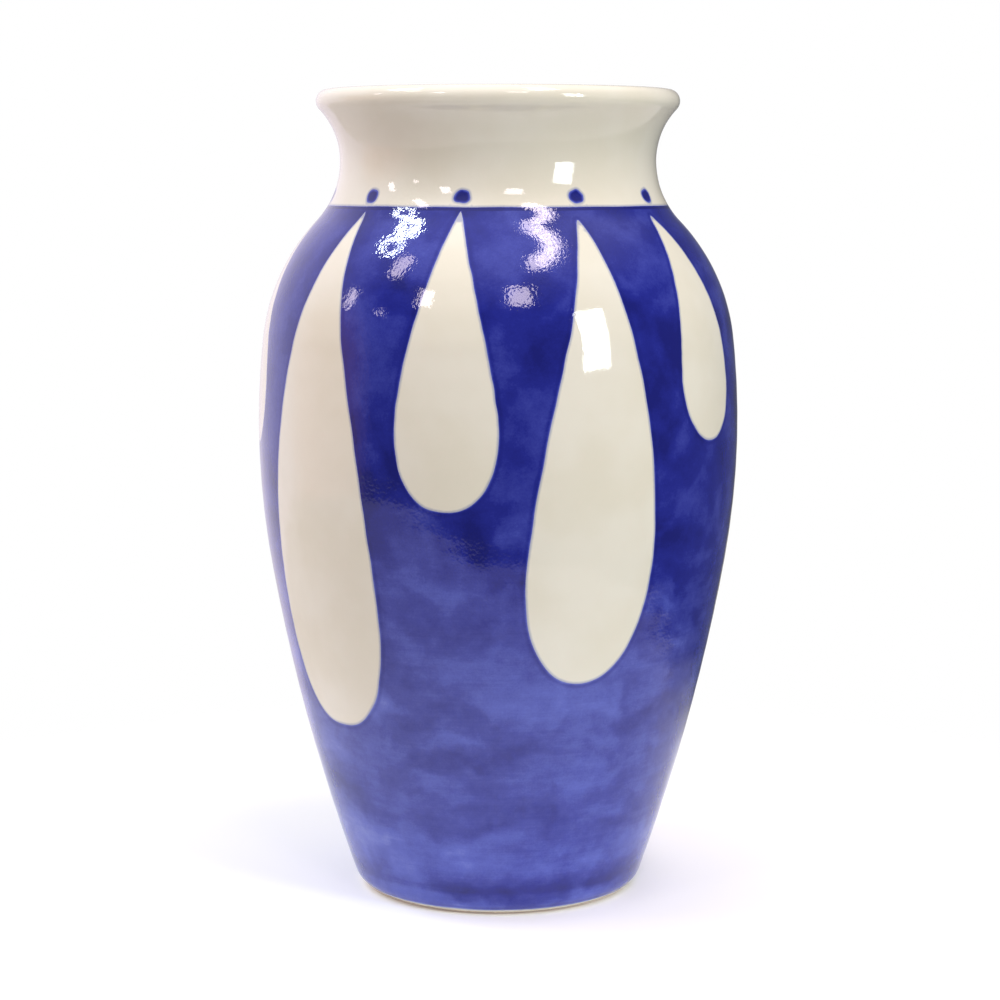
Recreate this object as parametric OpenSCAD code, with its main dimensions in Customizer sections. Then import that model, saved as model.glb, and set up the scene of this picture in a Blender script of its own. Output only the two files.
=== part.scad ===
// Talavera pottery vase: a thrown clay body, a lining glaze, a coat of ivory glaze,
// a cobalt wash with ten reserved ivory teardrops, a shoulder line and ten dots.
// Millimetres, +Z up. The origin is the middle of the foot, on the table.
// Angle 0 faces -Y and grows towards +X.

/* [Overall] */

// Diameter at the widest part of the belly
belly_diameter = 180; // [150:2:220]

// Height of the widest part above the table
belly_height = 174.6; // [140:0.2:220]

// Height of the narrowest part of the neck above the widest part of the belly
shoulder_height = 99.4; // [80:0.2:125]

// Height of the crown of the lip above the narrowest part of the neck
lip_height = 26; // [20:1:34]

// Height of the nearly upright band of the belly below its widest part
belly_below = 49.6; // [38:0.2:65]

// Height of that band above the widest part
belly_above = 34; // [25:0.5:45]

/* [Foot] */

// Diameter of the ring the vase stands on, where its edge starts to turn up
foot_diameter = 93; // [70:1:114]

// Radius of the rounded edge of the foot
foot_round = 9; // [6:0.5:12]

// Width of the flat ring under the foot
foot_ring = 4.5; // [3:0.5:12]

// Depth of the shallow recess turned inside that ring
recess_depth = 3; // [1.5:0.5:5]

/* [Neck and lip] */

// Outside diameter at the narrowest part of the neck
neck_diameter = 117; // [90:1:142]

// Radius of the hollow sweep from the shoulder into the neck
neck_sweep = 32; // [20:1:42]

// How far the lip stands out beyond the neck
lip_flare = 8.7; // [5:0.1:13]

// Thickness of the rounded lip
lip_thickness = 8.6; // [7:0.1:10]

/* [Clay and glaze] */

// Thickness of the wall, glaze included
wall_thickness = 6.5; // [5.5:0.1:8]

// Height of the inside floor above the table
floor_height = 11; // [8:0.5:16]

// Radius of the corner between the inside floor and the wall
floor_round = 14; // [8:1:20]

// Thickness of the ivory glaze, inside and out
glaze_thickness = 0.6; // [0.4:0.05:1]

// Depth the painted cobalt sinks into the glaze
paint_depth = 0.25; // [0.15:0.05:0.35]

// Height of the bare clay left at the foot for the kiln shelf
bare_foot = 0.8; // [0.5:0.1:1.5]

/* [Painting] */

// Height of the ivory band left under the cobalt wash
ivory_band = 2.4; // [2:0.1:6]

// Drop from the narrowest part of the neck to the top of the shoulder line
line_drop = 16.4; // [15:0.2:24]

// Width of the shoulder line, measured upright
line_width = 1.2; // [0.8:0.1:2.4]

// Length of the long teardrops, measured upright
long_length = 173.5; // [140:0.5:200]

// Width of the long teardrops
long_width = 50.4; // [38:0.2:60]

// Length of the short teardrops
short_length = 91.5; // [70:0.5:115]

// Width of the short teardrops
short_width = 35; // [26:0.2:40]

// Most that one brushed teardrop strays from the next in length
brush_drift = 11; // [0:0.5:14]

// Diameter of the dots over the teardrop tips
dot_diameter = 5.6; // [3:0.1:7]

// Which sub-part to draw: all of them, or one by name

/* [Hidden] */

teardrops = 10;
drop_numbers = [1 : teardrops];

$fn = 180;
outline_fn = 96;
round_steps = 16;
side_steps = 10;
reach = 400;

clay_colour = "#c98f68";
ivory_colour = "#e3ddc6";
lining_colour = "#ddd5bb";
cobalt_colour = "#34428f";
dark_cobalt_colour = "#1d2663";

function dir(a) = [cos(a), sin(a)];
function sq(v) = v * v;

// Every outside stretch is an arc, and each arc meets the next one tangent.
// An angle here is that of the outward normal above level.
belly_r = belly_diameter / 2;
belly_z = belly_height;
neck_r = neck_diameter / 2;
neck_z = belly_z + shoulder_height;
vase_height = neck_z + lip_height;
foot_c = [foot_diameter / 2, foot_round];

// Middle of the belly: one large arc either side of the widest part.
lean_share = 0.82;
flank_lean = atan((belly_r - foot_c.x - foot_round) / (belly_z - foot_round));
low_angle = lean_share * flank_lean;
belly_arc = belly_below / sin(low_angle);
belly_c = [belly_r - belly_arc, belly_z];
high_angle = asin(belly_above / belly_arc);

// Lower flank: tangent to the belly arc above and to the foot edge below.
low_point = belly_c + belly_arc * dir(-low_angle);
low_step = low_point - foot_c;
low_lead = dir(-low_angle) * low_step - foot_round;
flank_arc = (low_step * low_step - sq(foot_round)) / (2 * low_lead);
flank_c = low_point - flank_arc * dir(-low_angle);
foot_angle = atan2(foot_c.y - flank_c.y, foot_c.x - flank_c.x);

// Shoulder: tangent to the belly arc below and to the hollow neck sweep above.
neck_c = [neck_r + neck_sweep, neck_z];
high_point = belly_c + belly_arc * dir(high_angle);
high_step = neck_c - high_point;
high_lead = neck_sweep - dir(high_angle) * high_step;
shoulder_arc = (high_step * high_step - sq(neck_sweep)) / (2 * high_lead);
shoulder_c = high_point - shoulder_arc * dir(high_angle);
turn_angle = atan2(neck_c.y - shoulder_c.y, neck_c.x - shoulder_c.x);

// Lip: a round bead, with a hollow flare tangent to it outside and another inside.
lip_r = lip_thickness / 2;
lip_c = [neck_r + lip_flare - lip_r, vase_height - lip_r];
lip_rise = lip_c.y - neck_z;
flare_in = lip_c.x - neck_r;
flare_arc = (sq(flare_in) + sq(lip_rise) - sq(lip_r)) / (2 * lip_flare);
flare_c = [neck_r + flare_arc, neck_z];
flare_angle = atan2(lip_rise, flare_c.x - lip_c.x);
bore_r = neck_r - wall_thickness;
bore_in = lip_c.x - bore_r;
bore_arc = (sq(bore_in) + sq(lip_rise) - sq(lip_r)) / (2 * (bore_in - lip_r));
bore_c = [bore_r + bore_arc, neck_z];
bore_angle = atan2(lip_rise, bore_c.x - lip_c.x);

// Inside corner: tangent to the floor and to the inside of the lower flank.
corner_z = floor_height + floor_round;
corner_reach = flank_arc - wall_thickness - floor_round;
corner_c = [flank_c.x + sqrt(sq(corner_reach) - sq(corner_z - flank_c.y)), corner_z];
corner_angle = atan2(corner_c.y - flank_c.y, corner_c.x - flank_c.x);

// Every arc is drawn in enough steps to stay within this of the true curve.
curve_error = 0.05;
function step_count(r, turn) = ceil(abs(turn) / (2 * acos(1 - curve_error / r)));

// Points of an arc of centre c from angle a0 to a1, without the first, at depth t
// under a surface of radius r. The steps depend on r alone, so depths match.
function bulge(c, r, t, a0, a1) =
    let (n = step_count(r, a1 - a0))
    [for (k = [1 : n]) c + (r - t) * dir(a0 + (a1 - a0) * k / n)];

// The same for a hollow arc, whose centre is outside the wall.
function hollow(c, r, t, a0, a1) =
    let (n = step_count(r, a1 - a0))
    [for (k = [1 : n]) c - (r + t) * dir(a0 + (a1 - a0) * k / n)];

// The wall at depth t, from angle start on the lower flank up to the middle of the neck.
function body_line(t, start) = concat(
    bulge(flank_c, flank_arc, t, start, -low_angle),
    bulge(belly_c, belly_arc, t, -low_angle, high_angle),
    bulge(shoulder_c, shoulder_arc, t, high_angle, turn_angle),
    hollow(neck_c, neck_sweep, t, turn_angle, 0)
);

// The outside from under the foot to the crown of the lip, at depth t.
function outside_line(t) = concat(
    [foot_c + (foot_round - t) * dir(-90)],
    bulge(foot_c, foot_round, t, -90, foot_angle),
    body_line(t, foot_angle),
    hollow(flare_c, flare_arc, t, 0, -flare_angle),
    bulge(lip_c, lip_r, t, -flare_angle, 90)
);

// The inside from the floor to the crown of the lip, t deep in the wall.
function inside_line(t) = concat(
    [[0, floor_height - t], [corner_c.x, floor_height - t]],
    bulge(corner_c, floor_round, -t, -90, corner_angle),
    body_line(wall_thickness - t, corner_angle),
    hollow(bore_c, bore_arc, -t, 0, -bore_angle),
    bulge(lip_c, lip_r, t, 180 - bore_angle, 90)
);

function backwards(points) = [for (k = [len(points) - 1 : -1 : 0]) points[k]];

// Painting: the wash stops under the line and the teardrops stop a little lower.
line_top = neck_z - line_drop;
line_bottom = line_top - line_width;
tip_gap = 1;
tip_z = line_bottom - tip_gap;
dot_gap = 1.2;
dot_z = line_top + dot_gap + dot_diameter / 2;
drop_pitch = 360 / teardrops;
first_drop = -84;
drift_turn = 144;
short_drift_start = 235;
drift_fatness = 0.094;
cutter_start = 0.4 * belly_r;
cutter_reach = belly_r;

function drop_angle(i) = first_drop + drop_pitch * (i - 1);
function drop_is_long(i) = i % 2 == 0;
function drop_pair(i) = floor((i - 1) / 2);
function long_drift(k) = brush_drift * cos(drift_turn * k);
function short_drift(k) = brush_drift * cos(drift_turn * k + short_drift_start);
function drop_drift(i) = drop_is_long(i) ? long_drift(drop_pair(i)) : short_drift(drop_pair(i));
function drop_bottom(i) = tip_z - (drop_is_long(i) ? long_length : short_length) - drop_drift(i);
function drop_half(i) = (drop_is_long(i) ? long_width : short_width) / 2 + drift_fatness * drop_drift(i);

// The outside profile at depth t, filled to the axis.
module outside(t) {
    polygon(concat([[0, t]], outside_line(t), [[0, vase_height - t]]));
}

// The hollow of the vase, grown by t into the wall and open above the lip.
module inside(t) {
    polygon(concat(inside_line(t), [[lip_c.x, vase_height + lip_r], [0, vase_height + lip_r]]));
}

// The outside stretch of the wall between the surface and depth t.
module coat(t) {
    polygon(concat(outside_line(0), backwards(outside_line(t))));
}

module between(z0, z1) {
    translate([0, z0])
        square([reach, z1 - z0]);
}

// The outermost skin of the glaze, as deep as the paint sinks, between two heights.
module skin(z0, z1) {
    intersection() {
        coat(paint_depth);
        between(z0, z1);
    }
}

// The turned skin that takes the cobalt wash.
module washed_skin() {
    rotate_extrude()
        skin(ivory_band, line_bottom);
}

// Pushes a flat outline, drawn in X across and Y up, out through the wall at angle a.
module stamp(a) {
    rotate([0, 0, a])
        translate([0, -cutter_start, 0])
            rotate([90, 0, 0])
                linear_extrude(cutter_reach)
                    children();
}

// A teardrop outline: a half round bottom and two long arcs that meet at the tip.
module teardrop_outline(i) {
    half = drop_half(i);
    mid = drop_bottom(i) + half;
    rise = tip_z - mid;
    side = (sq(rise) + sq(half)) / (2 * half);
    sweep = asin(rise / side);
    function side_point(k) = side * dir(sweep * k / side_steps) - [side - half, 0];
    bottom = [for (k = [0 : round_steps]) half * dir(180 + 180 * k / round_steps)];
    right = [for (k = [1 : side_steps]) side_point(k)];
    left = [for (k = [side_steps - 1 : -1 : 1]) [-side_point(k).x, side_point(k).y]];
    translate([0, mid])
        polygon(concat(bottom, right, left));
}

module dot_outline() {
    translate([0, dot_z])
        circle(d = dot_diameter, $fn = outline_fn);
}

// One dot's share of the glaze skin.
module dot_piece(i) {
    intersection() {
        rotate_extrude()
            skin(line_top, dot_z + dot_diameter);
        stamp(drop_angle(i))
            dot_outline();
    }
}

module clay_body() {
    color(clay_colour)
        rotate_extrude()
            difference() {
                union() {
                    outside(glaze_thickness);
                    intersection() {
                        outside(0);
                        between(0, bare_foot);
                    }
                }
                inside(glaze_thickness);
                square([foot_c.x - foot_ring, recess_depth]);
            }
}

module inner_glaze() {
    color(lining_colour)
        rotate_extrude()
            difference() {
                inside(glaze_thickness);
                inside(0);
            }
}

module outer_glaze() {
    color(ivory_colour)
        difference() {
            rotate_extrude()
                difference() {
                    coat(glaze_thickness);
                    between(0, bare_foot);
                    skin(ivory_band, line_top);
                }
            for (i = drop_numbers)
                dot_piece(i);
        }
}

module cobalt_wash() {
    color(cobalt_colour)
        difference() {
            washed_skin();
            for (i = drop_numbers)
                stamp(drop_angle(i))
                    teardrop_outline(i);
        }
}

module shoulder_line() {
    color(dark_cobalt_colour)
        rotate_extrude()
            skin(line_bottom, line_top);
}

module teardrop(i) {
    color(ivory_colour)
        intersection() {
            washed_skin();
            stamp(drop_angle(i))
                teardrop_outline(i);
        }
}

module dot(i) {
    color(dark_cobalt_colour)
        dot_piece(i);
}

clay_body();
inner_glaze();
outer_glaze();
cobalt_wash();
shoulder_line();
for (i = drop_numbers) teardrop(i);
for (i = drop_numbers) dot(i);
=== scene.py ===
# %% [markdown]
# # A hand-painted talavera vase
#
# The real vase is one thrown and fired piece of clay. It is lined and coated with a thick ivory
# glaze, and a painter brushed a cobalt wash over the body, leaving ten teardrops free, and set a
# dot over the tip of each. The kiln melted paint and glaze into one glossy skin.
#
# The CAD holds the true sizes. This lesson keeps them and makes what the CAD leaves plain: marks
# that look drawn by hand, brushwork that pools and thins, and a glaze that ripples in the light.

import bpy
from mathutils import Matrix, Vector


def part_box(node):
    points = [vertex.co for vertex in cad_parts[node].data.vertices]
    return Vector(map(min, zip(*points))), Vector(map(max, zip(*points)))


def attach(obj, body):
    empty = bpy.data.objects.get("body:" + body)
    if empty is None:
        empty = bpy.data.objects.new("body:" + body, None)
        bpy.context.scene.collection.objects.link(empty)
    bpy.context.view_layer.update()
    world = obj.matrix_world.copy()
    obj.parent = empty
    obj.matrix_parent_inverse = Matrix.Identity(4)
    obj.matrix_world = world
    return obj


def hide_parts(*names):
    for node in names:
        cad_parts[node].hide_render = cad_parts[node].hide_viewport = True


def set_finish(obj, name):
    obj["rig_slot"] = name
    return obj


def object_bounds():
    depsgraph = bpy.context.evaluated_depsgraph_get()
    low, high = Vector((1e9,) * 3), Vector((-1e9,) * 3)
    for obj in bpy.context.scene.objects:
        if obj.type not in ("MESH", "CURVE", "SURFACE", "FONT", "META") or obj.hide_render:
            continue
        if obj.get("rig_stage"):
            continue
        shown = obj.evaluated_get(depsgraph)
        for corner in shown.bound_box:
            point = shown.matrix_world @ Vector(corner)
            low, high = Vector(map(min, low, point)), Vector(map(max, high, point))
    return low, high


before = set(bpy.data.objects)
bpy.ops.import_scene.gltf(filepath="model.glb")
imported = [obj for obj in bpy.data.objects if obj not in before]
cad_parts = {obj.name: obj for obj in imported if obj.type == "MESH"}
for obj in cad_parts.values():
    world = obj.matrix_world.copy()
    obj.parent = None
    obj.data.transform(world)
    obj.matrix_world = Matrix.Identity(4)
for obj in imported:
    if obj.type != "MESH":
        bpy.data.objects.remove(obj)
cad_low, cad_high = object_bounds()
print("CAD box in mm:", [round(v * 1000, 1) for v in (*cad_low, *cad_high)])

# %% Tools for every cell
import math

import bpy
import numpy as np
from mathutils import Vector, kdtree
from mathutils.geometry import delaunay_2d_cdt

MM = 0.001
TURN = 2 * math.pi
scene = bpy.context.scene
brush_rng = np.random.default_rng(1824)
print("Blender", bpy.app.version_string)

# %% [markdown]
# ## The outline of the pot
#
# A thrown pot is a surface of revolution, so one line tells its whole shape. That line could be
# traced with a curve and turned with a Screw modifier, but the paint has to lie exactly in the
# skin of the glaze, which is easier when the line is a formula. Here it is a chain of arcs, each
# tangent to the next. It is tabled finely, by the distance along it from the bottom of the foot.

# %% One arc of the outline
def toward(angle):
    """Unit vector at an angle above level, as radius and height."""
    return np.array([math.cos(angle), math.sin(angle)])


def bearing(step):
    return math.atan2(step[1], step[0])


def arc(centre, radius, start, end, hollow=False, spacing=0.02 * MM):
    """Rows of radius, height and the outward normal. Angles are those of the normal, and a hollow
    arc has its centre outside the wall."""
    count = max(3, math.ceil(abs(end - start) * radius / spacing))
    angles = np.linspace(start, end, count)
    normal = np.column_stack([np.cos(angles), np.sin(angles)])
    return np.hstack([np.asarray(centre) + (-radius if hollow else radius) * normal, normal])


# %% Sizes of the pot, in metres
wash_low, wash_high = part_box("cobalt_wash")
belly_radius = (wash_high.x - wash_low.x) / 2
belly_height = 174.6 * MM
neck_height = belly_height + 99.4 * MM
pot_height = cad_high.z
neck_radius = 58.5 * MM
neck_sweep = 32 * MM
foot_round = 9 * MM
foot_centre = np.array([46.5 * MM, foot_round])
belly_below, belly_above = 49.6 * MM, 34 * MM
lip_flare, lip_radius = 8.7 * MM, 4.3 * MM
wall = 6.5 * MM
glaze = 0.6 * MM
paint_depth = 0.25 * MM
floor_height, floor_round = 11 * MM, 14 * MM
bare_foot = 0.8 * MM
ring_width, recess_depth = 4.5 * MM, 3 * MM
print("belly across", round(2000 * belly_radius, 2), "mm, height", round(1000 * pot_height, 2), "mm")

# %% The outside, from under the foot to the crown of the lip
lean_share = 0.82
flank_lean = math.atan2(belly_radius - foot_centre[0] - foot_round, belly_height - foot_round)
low_angle = lean_share * flank_lean
belly_arc = belly_below / math.sin(low_angle)
belly_centre = np.array([belly_radius - belly_arc, belly_height])
high_angle = math.asin(belly_above / belly_arc)

low_point = belly_centre + belly_arc * toward(-low_angle)
low_step = low_point - foot_centre
flank_arc = (low_step @ low_step - foot_round**2) / (2 * (toward(-low_angle) @ low_step - foot_round))
flank_centre = low_point - flank_arc * toward(-low_angle)
foot_angle = bearing(foot_centre - flank_centre)

neck_centre = np.array([neck_radius + neck_sweep, neck_height])
high_point = belly_centre + belly_arc * toward(high_angle)
high_step = neck_centre - high_point
shoulder_arc = (high_step @ high_step - neck_sweep**2) / (2 * (neck_sweep - toward(high_angle) @ high_step))
shoulder_centre = high_point - shoulder_arc * toward(high_angle)
turn_angle = bearing(neck_centre - shoulder_centre)

lip_centre = np.array([neck_radius + lip_flare - lip_radius, pot_height - lip_radius])
lip_rise = lip_centre[1] - neck_height


def flare(neck, reach):
    """Radius, centre and last angle of the hollow arc from a neck radius to the lip's bead."""
    step = lip_centre[0] - neck
    radius = (step**2 + lip_rise**2 - lip_radius**2) / (2 * reach)
    centre = np.array([neck + radius, neck_height])
    return centre, radius, math.atan2(lip_rise, centre[0] - lip_centre[0])


flare_centre, flare_arc, flare_angle = flare(neck_radius, lip_flare)
outside_rows = [
    arc(foot_centre, foot_round, -math.pi / 2, foot_angle),
    arc(flank_centre, flank_arc, foot_angle, -low_angle),
    arc(belly_centre, belly_arc, -low_angle, high_angle),
    arc(shoulder_centre, shoulder_arc, high_angle, turn_angle),
    arc(neck_centre, neck_sweep, turn_angle, 0, hollow=True),
    arc(flare_centre, flare_arc, 0, -flare_angle, hollow=True),
    arc(lip_centre, lip_radius, -flare_angle, math.pi / 2),
]


def table(rows):
    """Joins arcs, and puts the distance along the line in front of each row."""
    line = np.vstack(rows)
    steps = np.hypot(*np.diff(line[:, :2], axis=0).T)
    fresh = np.concatenate([[True], steps > 1e-9])
    return np.column_stack([np.concatenate([[0], np.cumsum(steps)]), line])[fresh]


outside = table(outside_rows)
skin_length = outside[-1, 0]
widest_radius = outside[:, 1].max()
print("outside line", round(skin_length * 1000, 1), "mm long; widest at", round(widest_radius * 1000, 2))

# %% The inside, from the middle of the floor to the crown
bore_radius = neck_radius - wall
bore_centre, bore_arc, bore_angle = flare(bore_radius, lip_centre[0] - bore_radius - lip_radius)
corner_height = floor_height + floor_round
corner_reach = flank_arc - wall - floor_round
corner_in = math.sqrt(corner_reach**2 - (corner_height - flank_centre[1]) ** 2)
corner_centre = np.array([flank_centre[0] + corner_in, corner_height])
corner_angle = bearing(corner_centre - flank_centre)


def inside_line(deeper):
    """The inside of the pot, moved outwards into the wall by a distance. Normals point out."""
    less = wall - deeper
    flat = np.linspace(0, corner_centre[0], 40)
    low = floor_height - deeper
    floor_rows = np.column_stack([flat, 0 * flat + low, 0 * flat, 0 * flat - 1])
    return table([
        floor_rows,
        arc(corner_centre, floor_round + deeper, -math.pi / 2, corner_angle),
        arc(flank_centre, flank_arc - less, corner_angle, -low_angle),
        arc(belly_centre, belly_arc - less, -low_angle, high_angle),
        arc(shoulder_centre, shoulder_arc - less, high_angle, turn_angle),
        arc(neck_centre, neck_sweep + less, turn_angle, 0, hollow=True),
        arc(bore_centre, bore_arc - deeper, 0, -bore_angle, hollow=True),
        arc(lip_centre, lip_radius - deeper, math.pi - bore_angle, math.pi / 2),
    ])


lining_line = inside_line(0)
bedding_line = inside_line(glaze)
bore = lining_line[lining_line[:, 2] > neck_height - 5 * MM, 1].min()
print("neck inside", round(bore * 2000, 1), "mm across")

# %% [markdown]
# ## From the line to the pot
#
# Soft clay never turns quite true. A real pot is a little oval, and the potter's fingers leave a
# faint spiral in it, which is what makes its reflections swim. A noise texture on a Displace
# modifier would do, but a formula can be shared by every coat, so that clay, glaze and paint all
# stray together and never cut through each other.

# %% Where the soft clay strayed
def out_of_round(turn, height):
    """Metres by which the wall is out of a true circle, at a turn from -Y towards +X."""
    oval = 0.22 * MM * np.cos(2 * turn + 0.7 + 9 * height)
    three_sided = 0.10 * MM * np.cos(3 * turn - 1.1 + 14 * height)
    finger_spiral = 0.018 * MM * np.sin(TURN * height / (11 * MM) - turn)
    dents = 0.03 * MM * np.sin(5 * turn + 61 * height) * np.sin(47 * height + 2 * turn)
    return oval + three_sided + finger_spiral + dents


def place(turn, radius, height):
    """Points of the pot. Near the axis the clay can't stray."""
    strayed = radius + out_of_round(turn, height) * np.clip(radius / neck_radius, 0, 1)
    return np.stack([strayed * np.sin(turn), -strayed * np.cos(turn), height + 0 * turn], -1)


def read(line, along):
    return [np.interp(along, line[:, 0], line[:, k]) for k in (1, 2, 3, 4)]


def on_skin(turn, along, depth=0.0):
    """Points at a depth under the outside of the pot."""
    radius, height, out, up = read(outside, along)
    return place(turn, radius - depth * out, height - depth * up)


def unit(rows):
    return rows / np.maximum(np.linalg.norm(rows, axis=-1, keepdims=True), 1e-12)


def skin_normal(turn, along):
    """The outward normal, from how the strayed skin runs either way."""
    nudge = 0.1 * MM
    sideways = on_skin(turn + 1e-3, along) - on_skin(turn - 1e-3, along)
    upwards = on_skin(turn, along + nudge) - on_skin(turn, along - nudge)
    return unit(np.cross(sideways, upwards))


def along_at(height):
    return np.interp(height, outside[:, 2], outside[:, 0])


def radius_at(height):
    return np.interp(height, outside[:, 2], outside[:, 1])


print("foot to shoulder line:", round(float(along_at(256.4 * MM)) * 1000, 1), "mm of skin")

# %% [markdown]
# ## The painter's marks
#
# The teardrops were left free of the wash, so their edges are those of brush strokes: a little
# wavy, fuller at the bottom than a drawn circle, and each with its own lean. Each takes its place,
# width and height from its CAD solid, and a formula draws the hand in. Marks are held as the turn
# round the pot and the distance along its skin, which is the pot unrolled flat.

# %% What the CAD says about a mark
def measured(node):
    """Middle turn, half width, lowest and highest point of a painted mark."""
    corners = np.array([v.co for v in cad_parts[node].data.vertices])
    turn = np.arctan2(corners[:, 0], -corners[:, 1])
    middle = math.atan2(np.sin(turn).mean(), np.cos(turn).mean())
    off = (turn - middle + math.pi) % TURN - math.pi
    shift = (off.max() + off.min()) / 2
    middle += shift
    half = np.abs(np.hypot(corners[:, 0], corners[:, 1]) * np.sin(off - shift)).max()
    low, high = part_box(node)
    return middle, half, low.z, high.z


line_low, line_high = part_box("shoulder_line")
drop_nodes = sorted((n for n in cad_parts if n.startswith("teardrop_")), key=lambda n: int(n[9:]))
dot_nodes = [n.replace("teardrop", "dot") for n in drop_nodes]
for name in drop_nodes[1:3]:
    print(name, [round(float(v) * 1000, 1) for v in measured(name)[1:]])

# %% A hand's unsteadiness
def waver(share, size, seed, finest=14):
    """A closed wavering line: metres aside at each share of the way round."""
    rng = np.random.default_rng(seed)
    total = 0 * share
    for k in range(3, finest):
        total += rng.normal() * np.sin(TURN * (k * share + rng.random())) / math.sqrt(k)
    return size * total / 1.6


def evenly(points, spacing):
    """A closed line of points, spaced evenly along itself."""
    ring = np.vstack([points, points[:1]])
    run = np.concatenate([[0], np.cumsum(np.hypot(*np.diff(ring, axis=0).T))])
    count = max(12, round(run[-1] / spacing))
    at = np.arange(count) * run[-1] / count
    return np.column_stack([np.interp(at, run, ring[:, k]) for k in (0, 1)])


def seam_side(turn):
    """The same turn, between one side of the seam at the back and the other."""
    return (turn - SEAM) % TURN + SEAM - TURN


SEAM = math.radians(188.8)

# %% Teardrops
# No two were drawn alike. For each drop: how far it was set aside and how far its bottom leans, in
# degrees, how square its bottom is, how hollow its flanks and how blunt its tip are, and how much
# higher the tip reaches than in the CAD.
drop_aside = np.radians([1.5, 1.0, 0.3, 1.0, -3.2, 0.8, -1.0, -0.8, 1.2, 0.6])
drop_lean = np.radians([0.6, -2.0, 0.0, -3.6, 1.9, -1.0, 2.2, 0.6, 1.4, -2.5])
drop_square = [2.2, 2.4, 2.3, 2.15, 2.05, 2.4, 2.2, 2.3, 2.1, 2.4]
drop_hollow = [0.06, 0.02, 0.09, 0.04, 0.05, 0.03, 0.07, 0.04, 0.08, 0.03]
drop_blunt = [0.07, 0.035, 0.04, 0.07, 0.10, 0.05, 0.06, 0.05, 0.04, 0.06]
tip_rise = np.array([-0.5, 0.3, 0.7, -2.2, -1.2, 0.2, -0.8, 0.4, -1.5, 0.1]) * MM
widest = 0.28


def teardrop_shape(half, bottom, tip, square, hollow, blunt, seed):
    """Across and height of a drop's outline, from the bottom round to the tip and back."""
    sweep = np.linspace(0, 1, 240)
    low = widest * (1 - np.cos(sweep * math.pi / 2))
    rise = np.concatenate([low, widest + (1 - widest) * np.sin(sweep[1:] * math.pi / 2)])
    under = np.clip(1 - np.abs(1 - rise / widest) ** square, 0, 1) ** (1 / square)
    over = np.clip((rise - widest) / (1 - widest), 0, 1)
    fuller = blunt * over**2 * np.sqrt(1 - over**8)
    taper = np.cos(over * math.pi / 2) - hollow * np.sin(over * math.pi) + fuller
    width = half * np.where(rise < widest, under, taper)
    height = bottom + (tip - bottom) * rise
    right = np.column_stack([width, height])
    left = np.column_stack([-width, height])[::-1]
    line = evenly(np.vstack([right, left[1:-1]]), 0.7 * MM)
    share = np.arange(len(line)) / len(line)
    aside = waver(share, 0.13 * MM, seed, 34) * np.clip(np.abs(line[:, 0]) / (6 * MM), 0.05, 1)
    ahead = np.roll(line, -1, 0) - np.roll(line, 1, 0)
    out = np.column_stack([ahead[:, 1], -ahead[:, 0]])
    return line + unit(out) * aside[:, None]


def teardrop_path(index, node):
    middle, half, bottom, tip = measured(node)
    shape = teardrop_shape(half, bottom, tip + tip_rise[index], drop_square[index], drop_hollow[index],
                           drop_blunt[index], 40 + index)
    low = (tip - shape[:, 1]) / (tip - bottom)
    turn = middle + drop_aside[index] + drop_lean[index] * np.clip(low, 0, 1) ** 1.7
    turn = turn + np.arcsin(shape[:, 0] / radius_at(shape[:, 1]))
    return np.column_stack([seam_side(turn), along_at(shape[:, 1])])


drops = [teardrop_path(i, node) for i, node in enumerate(drop_nodes)]
print(len(drops), "teardrops,", sum(map(len, drops)), "points round them")

# %% Dots
# A loaded brush set down and lifted leaves a blot a little wider than tall, off its drop's tip.
dot_aside = np.radians([2.5, 1.2, 0.2, 2.8, 0.6, -1.0, 1.5, -0.6, 0.8, -1.4])


def dot_path(index, node):
    middle, half, low, high = measured(node)
    share = np.arange(54) / 54
    rng = np.random.default_rng(70 + index)
    wide, tall = half * rng.uniform(1.0, 1.1), (high - low) / 2 * rng.uniform(0.84, 0.94)
    reach = 1 + waver(share, 0.075, 90 + index, 7)
    across = wide * reach * np.cos(TURN * share)
    height = (low + high) / 2 - 0.4 * MM + tall * reach * np.sin(TURN * share)
    turn = middle + dot_aside[index] + across / radius_at(height)
    return np.column_stack([seam_side(turn), along_at(height)])


dots = [dot_path(i, node) for i, node in enumerate(dot_nodes)]
print(len(dots), "dots, about", round(np.ptp(dots[2][:, 1]) * 1000, 1), "mm tall")

# %% The rings: edges of the wash and of the shoulder line
ring_turns = SEAM - TURN + TURN * np.arange(601) / 600


def ring_path(height, unsteady, seed):
    share = (ring_turns - ring_turns[0]) / TURN
    return np.column_stack([ring_turns, along_at(height) + waver(share, unsteady, seed, 22)])


wash_edge = ring_path(wash_low.z, 0.16 * MM, 5)
line_bottom = ring_path(line_low.z, 0.12 * MM, 6)
line_top = ring_path(line_high.z, 0.13 * MM, 7)
print("line is", round(np.mean(line_top[:, 1] - line_bottom[:, 1]) * 1000, 2), "mm of skin wide")

# %% [markdown]
# ## Knitting the skin
#
# Paint and bare glaze lie in one smooth surface, so neighbours must share every point of the edge
# between them. Cutting one mesh with booleans leaves ragged edges. Instead the unrolled skin is
# knitted once: a constrained Delaunay triangulation keeps all the painted edges and fills the
# rest with an even net, and each triangle then goes to the mark that it lies in.

# %% Knit triangles between the painted edges
FLAT_RADIUS = 75 * MM


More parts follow.
